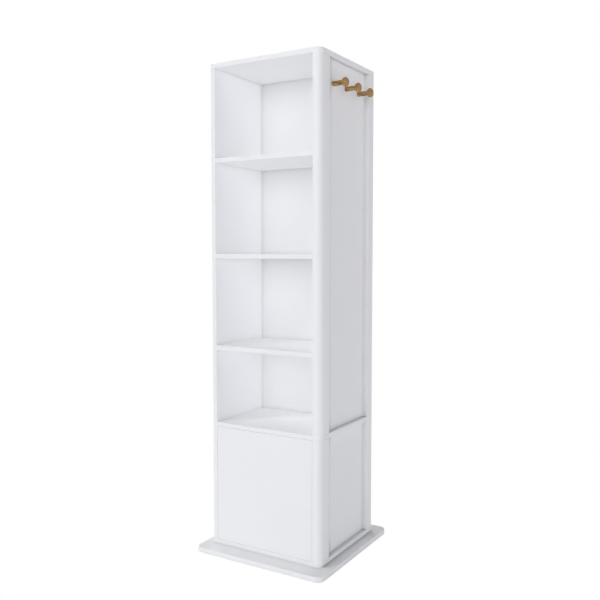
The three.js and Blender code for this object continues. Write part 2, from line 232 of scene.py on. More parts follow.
class Recipe:
    """A small builder for a node-based material in the row's own coordinates."""

    def __init__(self, name: str) -> None:
        """Starts a material with one Principled shader.

        Args:
            name: the material's name.
        """
        self.material = bpy.data.materials.new(name)
        self.material.use_nodes = True
        self.tree = self.material.node_tree
        self.shader = self.tree.nodes["Principled BSDF"]
        self.place = self.node("ShaderNodeTexCoord").outputs["Object"]

    def node(self, kind: str, **settings: object) -> bpy.types.Node:
        """Adds a node.

        Args:
            kind: the node's type name.
            settings: attributes to set on the node.

        Returns:
            The new node.
        """
        made = self.tree.nodes.new(kind)
        for key, value in settings.items():
            setattr(made, key, value)
        return made

    def link(self, source: Socket, target: Socket) -> None:
        """Joins two sockets."""
        self.tree.links.new(source, target)

    def stretched(self, scale: Triple) -> Socket:
        """The row's coordinates multiplied along each axis.

        Args:
            scale: the factor along X, Y and Z.

        Returns:
            The scaled vector.
        """
        mapping = self.node("ShaderNodeMapping")
        mapping.inputs["Scale"].default_value = scale
        self.link(self.place, mapping.inputs["Vector"])
        return mapping.outputs["Vector"]

    def noise(self, grain: Grain) -> Socket:
        """A noise value from 0 to 1.

        Args:
            grain: the noise's measures.

        Returns:
            The noise's value.
        """
        made = self.node("ShaderNodeTexNoise")
        made.inputs["Scale"].default_value = grain.scale
        made.inputs["Detail"].default_value = grain.detail
        made.inputs["Roughness"].default_value = grain.roughness
        vector = self.stretched(grain.stretch) if grain.stretch else self.place
        self.link(vector, made.inputs["Vector"])
        return made.outputs["Fac"]

    def spread(self, value: Socket, held: Span = WHOLE, out: Span = WHOLE) -> Socket:
        """Maps a stretch of a value onto another range, held at its ends.

        Args:
            value: the value to map.
            held: the two values that become the ends.
            out: the two ends.

        Returns:
            The mapped value.
        """
        made = self.node("ShaderNodeMapRange", clamp=True)
        made.inputs["From Min"].default_value = held[0]
        made.inputs["From Max"].default_value = held[1]
        made.inputs["To Min"].default_value = out[0]
        made.inputs["To Max"].default_value = out[1]
        self.link(value, made.inputs["Value"])
        return made.outputs["Result"]

    def blend(self, share: Socket, first: Union[Socket, Colour], second: Union[Socket, Colour]) -> Socket:
        """Mixes two colours.

        Args:
            share: how much of the second colour shows, from 0 to 1.
            first: a colour or a colour socket.
            second: a colour or a colour socket.

        Returns:
            The mixed colour.
        """
        made = self.node("ShaderNodeMix", data_type="RGBA")
        factor, first_colour, second_colour = made.inputs[0], made.inputs[6], made.inputs[7]
        self.link(share, factor)
        for socket, value in ((first_colour, first), (second_colour, second)):
            if isinstance(value, Socket):
                self.link(value, socket)
            else:
                socket.default_value = (*value, 1.0)
        return made.outputs[2]

    def crease_shade(self, line: ShadeLine) -> Socket:
        """How much painted shade a joint gets, read from ambient occlusion.

        Args:
            line: the dust's measures.

        Returns:
            0 on an open face, rising to the most that a deep joint holds.
        """
        # painted shade: ambient occlusion darkens the colour in creases and recesses
        made = self.node("ShaderNodeAmbientOcclusion", samples=CREASE_SAMPLES)
        made.inputs["Distance"].default_value = line.reach
        depth = self.spread(made.outputs["AO"], WHOLE, FALLING)
        return self.spread(depth, (0.0, line.full), (0.0, line.most))

    def past(self, way: Coordinate, start: float, fade: float) -> Socket:
        """Marks what lies past a plane.

        Args:
            way: the coordinate that the plane cuts.
            start: where the mark begins, in metres.
            fade: over what distance it grows to full.

        Returns:
            0 before the plane and 1 past it.
        """
        spot = self.node("ShaderNodeSeparateXYZ")
        self.link(self.place, spot.inputs[0])
        return self.spread(spot.outputs[way.value], (start, start + fade))

    def level(self) -> Socket:
        """Marks level faces.

        Returns:
            1 on a face that looks up or down, falling to 0 on an upright one.
        """
        normal = self.node("ShaderNodeSeparateXYZ")
        self.link(self.node("ShaderNodeNewGeometry").outputs["Normal"], normal.inputs[0])
        upward = normal.outputs[Coordinate.Z.value]
        return self.product(upward, upward)

    def rest_of(self, share: Socket) -> Socket:
        """What is left of 1 when a share is taken away."""
        return self.spread(share, WHOLE, FALLING)

    def product(self, *values: Socket) -> Socket:
        """Multiplies values.

        Args:
            values: two or more values.

        Returns:
            Their product.
        """
        total = values[0]
        for value in values[1:]:
            total = Arithmetic.TIMES.node(self.tree, total, value)
        return total

    def colour(self, source: Socket) -> None:
        """Sends a colour to the shader."""
        self.link(source, self.shader.inputs["Base Color"])

    def roughness(self, source: Socket, held: Span, out: Span) -> None:
        """Sends a value to the shader as its roughness, mapped from one range to another."""
        self.link(self.spread(source, held, out), self.shader.inputs["Roughness"])

    def relief(self, height: Socket, relief: Relief) -> None:
        """Adds a bump on top of any bump that is there already.

        Args:
            height: the height, from 0 to 1.
            relief: the bump's measures.
        """
        made = self.node("ShaderNodeBump")
        made.inputs["Distance"].default_value = relief.depth
        made.inputs["Strength"].default_value = relief.strength
        self.link(height, made.inputs["Height"])
        target = self.shader.inputs["Normal"]
        if target.is_linked:
            self.link(target.links[0].from_socket, made.inputs["Normal"])
        self.link(made.outputs["Normal"], target)


@dataclass(frozen=True)
class Lacquer:
    """Satin white lacquer with a faint orange peel and handling marks, with painted shade in its joints
    and recess ledges and a painted shadow beside the corner posts.
    """

    name: str = "satin_white_lacquer"
    fresh: Colour = (0.94, 0.94, 0.948)
    aged: Colour = (0.925, 0.925, 0.933)
    clouds: Grain = Grain(3.2, 4.0, 0.55)
    clouds_held: Span = (0.35, 0.68)
    scuff: Colour = (0.60, 0.60, 0.60)
    rubs: Grain = Grain(38.0, 6.0, 0.7)
    rubs_held: Span = (0.66, 0.80)
    scuffing: float = 0.25
    # painted shade colour: the dark tone that stands in for shade in joints, on ledges and beside the
    # posts
    painted_shade_colour: Colour = (0.28, 0.28, 0.285)
    # painted shade in every inner corner and crease, from ambient occlusion
    corner: ShadeLine = ShadeLine(15 * MM, 1.0, 0.24)
    # painted shade on the recess ledges and under the top board's overhang, where shadow falls
    ledge: ShadeLine = ShadeLine(36 * MM, 1.15, 1.0)
    ledge_start: Point2 = (188 * MM, -172 * MM)
    # painted shadow of the corner posts on the recessed side panel, limited to a band by position
    step: ShadeLine = ShadeLine(60 * MM, 0.07, 0.28)
    step_start: Point2 = (188 * MM, -132 * MM)
    step_end: Point2 = (199 * MM, -93 * MM)
    fade: float = 4 * MM
    step_fade: float = 12 * MM
    sheen: Grain = Grain(11.0, 5.0, 0.6)
    sheen_held: Span = (0.3, 0.7)
    sheen_out: Span = (0.42, 0.58)
    peel: Grain = Grain(420.0, 1.5, 0.4)
    peel_relief: Relief = Relief(0.04 * MM, 0.6)
    waves: Grain = Grain(9.0, 2.0, 0.5)
    waves_relief: Relief = Relief(0.3 * MM, 0.25)
    gloss: float = 0.35

    def ledge_shade(self, recipe: Recipe) -> Socket:
        """Painted shade on the narrow level faces of the side recess.

        Args:
            recipe: the material's recipe.

        Returns:
            How much painted shade shows.
        """
        return recipe.product(
            recipe.crease_shade(self.ledge),
            recipe.past(Coordinate.X, self.ledge_start[0], self.fade),
            recipe.past(Coordinate.Y, self.ledge_start[1], self.fade),
            recipe.level(),
        )

    def step_shade(self, recipe: Recipe) -> Socket:
        """Painted shadow along the upright step behind the corner posts.

        Args:
            recipe: the material's recipe.

        Returns:
            How much painted shadow shows.
        """
        return recipe.product(
            recipe.crease_shade(self.step),
            recipe.past(Coordinate.X, self.step_start[0], self.fade),
            recipe.past(Coordinate.Y, self.step_start[1], self.fade),
            recipe.rest_of(recipe.past(Coordinate.X, self.step_end[0], self.fade)),
            recipe.rest_of(recipe.past(Coordinate.Y, self.step_end[1], self.step_fade)),
            recipe.rest_of(recipe.level()),
        )

    def material(self) -> Material:
        """Makes the lacquer.

        Returns:
            The material.
        """
        recipe = Recipe(self.name)
        cloudy = recipe.spread(recipe.noise(self.clouds), self.clouds_held)
        tone = recipe.blend(cloudy, self.fresh, self.aged)
        rubbed = recipe.spread(recipe.noise(self.rubs), self.rubs_held, (0.0, self.scuffing))
        coat = recipe.blend(rubbed, tone, self.scuff)
        # painted shade: the crease, step and ledge darkening blended over the lacquer colour
        for share in (recipe.crease_shade(self.corner), self.step_shade(recipe), self.ledge_shade(recipe)):
            coat = recipe.blend(share, coat, self.painted_shade_colour)
        recipe.colour(coat)
        recipe.roughness(recipe.noise(self.sheen), self.sheen_held, self.sheen_out)
        recipe.relief(recipe.noise(self.peel), self.peel_relief)
        recipe.relief(recipe.noise(self.waves), self.waves_relief)
        recipe.shader.inputs["Specular IOR Level"].default_value = self.gloss
        return recipe.material


@dataclass(frozen=True)
class TurnedBeech:
    """Oiled beech turned on a lathe, with growth rings, long fibres and dark pores along the peg."""

    name: str = "oiled_turned_beech"
    light: Colour = (0.63, 0.38, 0.14)
    dark: Colour = (0.26, 0.135, 0.038)
    pore: Colour = (0.11, 0.052, 0.016)
    ring_scale: float = 95.0
    ring_distortion: float = 5.5
    ring_detail: float = 3.0
    ring_detail_scale: float = 1.4
    ring_stretch: Triple = (0.10, 1.0, 1.0)
    ring_held: Span = (0.1, 0.95)
    fibres: Grain = Grain(1.0, 5.0, 0.65, (90.0, 1500.0, 1500.0))
    fibres_held: Span = (0.35, 0.75)
    streaking: float = 0.55
    pores: Grain = Grain(1.0, 2.0, 0.5, (260.0, 2600.0, 2600.0))
    pores_held: Span = (0.63, 0.74)
    sheen_held: Span = (0.3, 0.7)
    sheen_out: Span = (0.38, 0.55)
    fibre_relief: Relief = Relief(0.12 * MM, 0.5)
    pore_relief: Relief = Relief(-0.15 * MM, 0.5)

    def material(self) -> Material:
        """Makes the beech.

        Returns:
            The material.
        """
        recipe = Recipe(self.name)
        rings = recipe.node("ShaderNodeTexWave", wave_type="BANDS", bands_direction="DIAGONAL")
        rings.inputs["Scale"].default_value = self.ring_scale
        rings.inputs["Distortion"].default_value = self.ring_distortion
        rings.inputs["Detail"].default_value = self.ring_detail
        rings.inputs["Detail Scale"].default_value = self.ring_detail_scale
        recipe.link(recipe.stretched(self.ring_stretch), rings.inputs["Vector"])
        fibre = recipe.noise(self.fibres)
        tone = recipe.blend(recipe.spread(rings.outputs["Fac"], self.ring_held), self.light, self.dark)
        streaks = recipe.spread(fibre, self.fibres_held, (0.0, self.streaking))
        pores = recipe.spread(recipe.noise(self.pores), self.pores_held)
        recipe.colour(recipe.blend(pores, recipe.blend(streaks, tone, self.dark), self.pore))
        recipe.roughness(fibre, self.sheen_held, self.sheen_out)
        recipe.relief(fibre, self.fibre_relief)
        recipe.relief(pores, self.pore_relief)
        return recipe.material


@dataclass(frozen=True)
class PlatedSteel:
    """Zinc-plated steel with a fine brushed surface and cloudy plating."""

    name: str = "zinc_plated_steel"
    bright: Colour = (0.66, 0.67, 0.69)
    dull: Colour = (0.47, 0.48, 0.50)
    clouds: Grain = Grain(120.0, 4.0, 0.6)
    clouds_held: Span = (0.35, 0.7)
    brushing: Grain = Grain(1.0, 3.0, 0.6, (300.0, 300.0, 6000.0))
    sheen_held: Span = (0.3, 0.7)
    sheen_out: Span = (0.26, 0.42)
    brush_relief: Relief = Relief(0.03 * MM, 0.5)

    def material(self) -> Material:
        """Makes the plating.

        Returns:
            The material.
        """
        recipe = Recipe(self.name)
        recipe.shader.inputs["Metallic"].default_value = 1.0
        cloudy = recipe.spread(recipe.noise(self.clouds), self.clouds_held)
        recipe.colour(recipe.blend(cloudy, self.bright, self.dull))
        brushed = recipe.noise(self.brushing)
        recipe.roughness(brushed, self.sheen_held, self.sheen_out)
        recipe.relief(brushed, self.brush_relief)
        return recipe.material


@dataclass(frozen=True)
class MouldedPlastic:
    """Matt white moulded plastic with a fine spark-eroded texture."""

    name: str = "moulded_white_plastic"
    body: Colour = (0.78, 0.78, 0.765)
    shade: Colour = (0.70, 0.70, 0.68)
    clouds: Grain = Grain(60.0)
    texture: Grain = Grain(2200.0, 1.0)
    held: Span = (0.3, 0.7)
    sheen_out: Span = (0.42, 0.54)
    texture_relief: Relief = Relief(0.03 * MM, 0.6)

    def material(self) -> Material:
        """Makes the plastic.

        Returns:
            The material.
        """
        recipe = Recipe(self.name)
        cloudy = recipe.spread(recipe.noise(self.clouds), self.held)
        recipe.colour(recipe.blend(cloudy, self.body, self.shade))
        texture = recipe.noise(self.texture)
        recipe.roughness(texture, self.held, self.sheen_out)
        recipe.relief(texture, self.texture_relief)
        return recipe.material


# ---- Shapes ----


def centre(node: str) -> Vector:
    """The middle of a CAD node's box."""
    low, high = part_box(node)
    return (low + high) / 2


def numbered(stem: str, count: int) -> list[str]:
    """The names of a row of equal CAD nodes, counted from 1."""
    return [f"{stem}_{number}" for number in range(1, count + 1)]


def arc(middle: Point2, radius: float, start: float, end: float, steps: int) -> list[Point2]:
    """Points along a circular arc, both ends included.

    Args:
        middle: the arc's centre.
        radius: the arc's radius.
        start: the first point's angle in degrees.
        end: the last point's angle in degrees.
        steps: how many straight stretches the arc has.

    Returns:
        The points in order.
    """
    angles = [math.radians(start + (end - start) * i / steps) for i in range(steps + 1)]
    return [(middle[0] + radius * math.cos(a), middle[1] + radius * math.sin(a)) for a in angles]


def bent(start: Point2, bend: Point2, end: Point2, steps: int) -> list[Point2]:
    """Points along a smooth bend, both ends included.

    Args:
        start: its first end.
        bend: the corner that it rounds.
        end: its last end.
        steps: how many straight stretches it has.

    Returns:
        The points in order.
    """
    points: list[Point2] = []
    for i in range(steps + 1):
        t = i / steps
        shares = ((1 - t) ** 2, 2 * t * (1 - t), t * t)
        corners = (start, bend, end)
        across = sum(share * corner[0] for share, corner in zip(shares, corners))
        along = sum(share * corner[1] for share, corner in zip(shares, corners))
        points.append((across, along))
    return points


def prism(outline: Sequence[Point2], low: float, high: float) -> Shape:
    """An upright prism.

    Args:
        outline: the plan, anticlockwise from above.
        low: the height of its underside.
        high: the height of its top.

    Returns:
        The closed shape.
    """
    shape = bmesh.new()
    under = [shape.verts.new((x, y, low)) for x, y in outline]
    over = [shape.verts.new((x, y, high)) for x, y in outline]
    count = len(outline)
    for i in range(count):
        j = (i + 1) % count
        shape.faces.new((under[i], under[j], over[j], over[i]))
    shape.faces.new(list(reversed(under)))
    shape.faces.new(over)
    return shape


def rectangle(low: Sequence[float], high: Sequence[float]) -> list[Point2]:
    """The plan of an upright box between two corners."""
    return [(low[0], low[1]), (high[0], low[1]), (high[0], high[1]), (low[0], high[1])]


def ease_edges(shape: Shape, radius: float, segments: int = 3) -> None:
    """Rounds every sharp edge of a shape.

    Args:
        shape: the shape to change.
        radius: the rounding's radius in metres.
        segments: how many strips the rounding has.
    """
    shape.normal_update()
    limit = math.radians(SHARP_EDGE)
    sharp = [e for e in shape.edges if len(e.link_faces) == 2 and e.calc_face_angle(0.0) > limit]
    bmesh.ops.bevel(shape, geom=sharp, offset=radius, segments=segments, profile=0.5, affect="EDGES")


def turned(profile: Sequence[Point2], steps: int = 48, closed: bool = False) -> Shape:
    """A round shape about the Z axis.

    Args:
        profile: points of radius and height; a closed profile runs anticlockwise with radius to the right.
        steps: how many sides it has.
        closed: whether the last point joins the first, as for a sleeve.

    Returns:
        The closed shape.
    """
    shape = bmesh.new()
    angles = [2 * math.pi * i / steps for i in range(steps)]
    rings: list[list[bmesh.types.BMVert]] = []
    for radius, height in profile:
        if radius < ON_THE_AXIS:
            spots = [(0.0, 0.0, height)]
        else:
            spots = [(radius * math.cos(a), radius * math.sin(a), height) for a in angles]
        rings.append([shape.verts.new(spot) for spot in spots])
    pairs = list(zip(rings, rings[1:]))
    if closed:
        pairs.append((rings[-1], rings[0]))
    for lower, upper in pairs:
        for i in range(steps):
            j = (i + 1) % steps
            near = (lower[i % len(lower)], lower[j % len(lower)])
            far = (upper[j % len(upper)], upper[i % len(upper)])
            unique = list(dict.fromkeys(near + far))
            if len(unique) > 2:
                shape.faces.new(unique)
    bmesh.ops.recalc_face_normals(shape, faces=shape.faces)
    return shape


def drill(radius: float, low: float, high: float, steps: int = 32) -> Shape:
    """A plain round cutter along Z between two heights."""
    return turned([(0.0, low), (radius, low), (radius, high), (0.0, high)], steps)


def placed(shape: Shape, at: Sequence[float], axis: Axis = Axis.UP) -> Shape:
    """Lays a shape along a direction and moves it to its place."""
    shape.transform(Matrix.Translation(Vector(at)) @ axis.matrix())
    return shape


def hole_up(node: str, radius: float, low: float, high: float) -> Shape:
    """A round cutter that stands on the middle of a node in plan, between two heights."""
    middle = centre(node)
    return placed(drill(radius, low, high), (middle.x, middle.y, 0.0))


def hole_across(node: str, radius: float, left: float, right: float) -> Shape:
    """A round cutter that lies through the middle of a node, between two places along X."""
    middle = centre(node)
    return placed(drill(radius, left, right), (0.0, middle.y, middle.z), Axis.RIGHT)


def as_object(name: str, shape: Shape) -> Piece:
    """Turns a shape into a scene object and frees it.

    Args:
        name: the object's name.
        shape: the finished shape.

    Returns:
        The object.
    """
    mesh = bpy.data.meshes.new(name)
    shape.to_mesh(mesh)
    shape.free()
    made = bpy.data.objects.new(name, mesh)
    bpy.context.scene.collection.objects.link(made)
    return made


def soften(mesh: bpy.types.Mesh) -> None:
    """Smooths a mesh's shading everywhere but across sharp edges and on its flat faces.

    Args:
        mesh: the mesh to shade.
    """
    shape = bmesh.new()
    shape.from_mesh(mesh)
    shape.normal_update()
    limit = math.radians(SHADING_EDGE)
    for face in shape.faces:
        face.smooth = max(abs(c) for c in face.normal) < FLAT_FACE
    for edge in shape.edges:
        edge.smooth = len(edge.link_faces) == 2 and edge.calc_face_angle(0.0) < limit
    shape.to_mesh(mesh)
    shape.free()


def worked(piece: Piece, joinery: Joinery, shapes: Sequence[Shape]) -> None:
    """Fuses shapes onto a piece, or cuts them out of it.

    Args:
        piece: the piece to change.
        joinery: what the shapes do to it.
        shapes: the shapes, which are used up.
    """
    helpers = [as_object("helper", shape) for shape in shapes]
    for helper in helpers:
        step = piece.modifiers.new(joinery.name, "BOOLEAN")
        step.operation = joinery.value
        step.solver = "EXACT"
        step.object = helper
    bpy.context.view_layer.update()
    evaluated = piece.evaluated_get(bpy.context.evaluated_depsgraph_get())
    result = bpy.data.meshes.new_from_object(evaluated)
    piece.modifiers.clear()
    piece.data = result
    for helper in helpers:
        bpy.data.objects.remove(helper)


# ---- Finishing ----


@dataclass
class Workshop:
    """The finishes, made once, and the steps that every piece goes through."""

    materials: dict[Slot, Material]
    pieces: int = 0

    @classmethod
    def open(cls) -> Workshop:
        """Mixes the four finishes.

        Returns:
            The workshop.
        """
        finishes = {
            Slot.PAINT: Lacquer(),
            Slot.PEG: TurnedBeech(),
            Slot.STEEL: PlatedSteel(),
            Slot.PLASTIC: MouldedPlastic(),
        }
        return cls({slot: finish.material() for slot, finish in finishes.items()})

    def make(
        self,
        node: str,
        shape: Shape,
        body: Body,
        craft: Craft,
        holes: Sequence[Shape] = (),
        fused: Sequence[Shape] = (),
    ) -> None:
        """Makes a finished piece that stands for a CAD node.

        Args:
            node: the CAD node.
            shape: the piece's shape, already in its place.
            body: the body that it moves with.
            craft: how it is worked.
            holes: shapes to cut out of it.
            fused: shapes that are one with it.
        """
        piece = as_object(f"{craft.word}_{node}", shape)
        if fused:
            worked(piece, Joinery.FUSE, fused)
        if holes:
            worked(piece, Joinery.CUT, holes)
        soften(piece.data)
        piece.data.materials.clear()
        piece.data.materials.append(self.materials[craft.slot])
        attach(piece, body.value)
        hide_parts(node)
        self.pieces += 1
        log.info("%s rides on %s in %s", piece.name, body.value, craft.slot.value)

    def board(self, node: str, edge: float, body: Body = Body.TOWER, holes: Sequence[Shape] = ()) -> None:
        """Makes a lacquered rectangular board.

        Args:
            node: the CAD node that it stands for.
            edge: the rounding of its edges.
            body: the body that it moves with.
            holes: shapes to cut out of it.
        """
        low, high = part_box(node)
        shape = prism(rectangle(low, high), low.z, high.z)
        ease_edges(shape, edge)
        self.make(node, shape, body, Craft.LACQUERED, holes)


@dataclass(frozen=True)
class Screw:
    """A cross-recessed screw whose head stands on or lies in a face."""

    head_radius: float
    shank_radius: float
    head_height: float
    length: float
    sunk: bool = False
    tip_share: float = 0.9
    tip_length: float = 0.3 * MM
    sunk_rim: float = 0.15 * MM
    crown_degrees: tuple[float, ...] = (0.0, 18.0, 36.0, 54.0, 72.0)
    slot_reach: float = 0.55
    slot_half_width: float = 0.11
    slot_depth: float = 0.55
    sides: int = 32

    def shape(self) -> Shape:
        """Turns the screw along Z, with its head's seat at zero and its shank below.

        Returns:
            The screw without its slots.
        """
        shank = [
            (0.0, -self.length),
            (self.shank_radius * self.tip_share, -self.length),
            (self.shank_radius, self.tip_length - self.length),
        ]
        if self.sunk:
            shank.append((self.shank_radius, -self.head_height))
            head = [(self.head_radius, -self.sunk_rim), (self.head_radius, 0.0), (0.0, 0.0)]
            return turned(shank + head, self.sides)
        shank.append((self.shank_radius, 0.0))
        crown = [
            (self.head_radius * math.cos(a), self.head_height * math.sin(a))
            for a in (math.radians(degrees) for degrees in self.crown_degrees)
        ]
        return turned(shank + crown + [(0.0, self.head_height)], self.sides)

    def slots(self) -> list[Shape]:
        """Cuts the two crossed slots of its drive.

        Returns:
            The two cutters.
        """
        top = 0.0 if self.sunk else self.head_height
        reach = self.head_radius * self.slot_reach
        half = self.head_radius * self.slot_half_width
        floor = top - self.head_height * self.slot_depth
        plans = (rectangle((-reach, -half), (reach, half)), rectangle((-half, -reach), (half, reach)))
        return [prism(plan, floor, top + MM) for plan in plans]

    def fit(self, shop: Workshop, seats: dict[str, Sequence[float]], body: Body, turn: Matrix) -> None:
        """Makes a set of these screws.

        Args:
            shop: the workshop.
            seats: where each head's seat is, by the CAD node that the screw stands for.
            body: the body that they hold.
            turn: the rotation from +Z to the way that the heads face.
        """
        for node, seat in seats.items():
            move = Matrix.Translation(Vector(seat)) @ turn
            shape = self.shape()
            shape.transform(move)
            slots = self.slots()
            for slot in slots:
                slot.transform(move)
            shop.make(node, shape, body, Craft.FITTED, slots)


# ---- Sub-assemblies ----


@dataclass
class BasePlate:
    """The flat plate on the floor, with round corners and a pocket for the turntable."""

    corner_radius: float = 24 * MM
    corner_steps: int = 18
    edge_radius: float = 2.0 * MM
    edge_segments: int = 4
    pocket_radius: float = 79 * MM
    pocket_depth: float = 8 * MM
    pocket_steps: int = 64
    pilot_radius: float = 2 * MM
    pilot_extra: float = 0.3 * MM
    clear: float = 5 * MM

    def outline(self, low: Vector, high: Vector) -> list[Point2]:
        """Draws the plan of the plate.

        Args:
            low: its lowest corner.
            high: its highest corner.

        Returns:
            The plan, anticlockwise.
        """
        r = self.corner_radius
        inner_low = (low.x + r, low.y + r)
        inner_high = (high.x - r, high.y - r)
        middles = [inner_high, (inner_low[0], inner_high[1]), inner_low, (inner_high[0], inner_low[1])]
        points: list[Point2] = []
        for quarter, middle in enumerate(middles):
            points += arc(middle, r, 90 * quarter, 90 * (quarter + 1), self.corner_steps)
        return points

    def build(self, shop: Workshop) -> None:
        """Makes the plate.

        Args:
            shop: the workshop.
        """
        low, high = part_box("base_plate")
        shape = prism(self.outline(low, high), low.z, high.z)
        ease_edges(shape, self.edge_radius, self.edge_segments)
        floor = high.z - self.pocket_depth
        holes = [drill(self.pocket_radius, floor, high.z + self.clear, self.pocket_steps)]
        for node in numbered("ring_screw", TURNTABLE_FIXINGS):
            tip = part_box(node)[0].z
            holes.append(hole_up(node, self.pilot_radius, tip - self.pilot_extra, high.z))
        shop.make("base_plate", shape, Body.BASE, Craft.LACQUERED, holes)


@dataclass(frozen=True)
class TurntableRing:
    """What sets one turntable ring apart from the other."""

    node: str
    body: Body
    fixing: str
    hole_radius: float
    grooved_top: bool


@dataclass
class Turntable:
    """Two grooved steel rings with a cage of balls between them, and their screws."""

    lower: TurntableRing = TurntableRing(
        "turntable_lower_ring", Body.BASE, "ring_screw", hole_radius=3.95 * MM, grooved_top=True
    )
    upper: TurntableRing = TurntableRing(
        "turntable_upper_ring", Body.TOWER, "turntable_bolt", hole_radius=2.4 * MM, grooved_top=False
    )
    ring_screw: Screw = Screw(3.6 * MM, 1.6 * MM, 1.9 * MM, 8 * MM, sunk=True)
    bolt: Screw = Screw(5 * MM, 2 * MM, 2.2 * MM, 17 * MM)
    ball_circle: float = 60.5 * MM
    ball_radius: float = 3.0 * MM
    ball_count: int = 16
    groove_radius: float = 3.3 * MM
    groove_steps: int = 10
    cage_half_thickness: float = 1.0 * MM
    ring_steps: int = 96
    ball_segments: tuple[int, int] = (24, 16)

    def ring(self, shop: Workshop, plan: TurntableRing, level: float) -> None:
        """Makes one ring.

        Args:
            shop: the workshop.
            plan: which ring it is.
            level: the height of the balls' middle.
        """
        low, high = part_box(plan.node)
        outer = (high.x - low.x) / 2
        inner = 2 * self.ball_circle - outer
        face = high.z if plan.grooved_top else low.z
        half = math.degrees(math.acos(abs(level - face) / self.groove_radius))
        middle = 270 if plan.grooved_top else 90
        ball = (self.ball_circle, level)
        groove = arc(ball, self.groove_radius, middle + half, middle - half, self.groove_steps)
        under = [(inner, low.z), (outer, low.z)]
        over = [(outer, high.z), (inner, high.z)]
        if plan.grooved_top:
            profile = under + over[:1] + groove + over[1:]
        else:
            profile = under[:1] + groove + under[1:] + over
        shape = turned(profile, self.ring_steps, closed=True)
        fixings = numbered(plan.fixing, TURNTABLE_FIXINGS)
        holes = [hole_up(node, plan.hole_radius, low.z - MM, high.z + MM) for node in fixings]
        shop.make(plan.node, shape, plan.body, Craft.PLATED, holes)

    def cage(self, shop: Workshop, level: float) -> None:
        """Makes the ball cage with its balls.

        Args:
            shop: the workshop.
            level: the height of the balls' middle.
        """
        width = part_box("ball_cage")[1].x - self.ball_circle
        inner, outer = self.ball_circle - width, self.ball_circle + width
        low, high = level - self.cage_half_thickness, level + self.cage_half_thickness
        ring = turned(rectangle((inner, low), (outer, high)), self.ring_steps, closed=True)
        balls = bmesh.new()
        around, upward = self.ball_segments
        for i in range(self.ball_count):
            angle = 2 * math.pi * i / self.ball_count
            spot = (self.ball_circle * math.cos(angle), self.ball_circle * math.sin(angle), level)
            bmesh.ops.create_uvsphere(
                balls,
                u_segments=around,
                v_segments=upward,
                radius=self.ball_radius,
                matrix=Matrix.Translation(spot),
            )
        shop.make("ball_cage", ring, Body.CAGE, Craft.PLATED, fused=[balls])

    def build(self, shop: Workshop) -> None:
        """Makes the whole turntable.

        Args:
            shop: the workshop.
        """
        level = centre("ball_cage").z
        self.ring(shop, self.lower, level)
        self.ring(shop, self.upper, level)
        self.cage(shop, level)
        upright = Matrix.Identity(4)
        screws = numbered(self.lower.fixing, TURNTABLE_FIXINGS)
        screw_seats = {node: (*centre(node).xy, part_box(node)[1].z) for node in screws}
        self.ring_screw.fit(shop, screw_seats, Body.BASE, upright)
        bolts = numbered(self.upper.fixing, TURNTABLE_FIXINGS)
        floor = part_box("bottom_board")[1].z
        bolt_seats = {node: (*centre(node).xy, floor) for node in bolts}
        self.bolt.fit(shop, bolt_seats, Body.TOWER, upright)


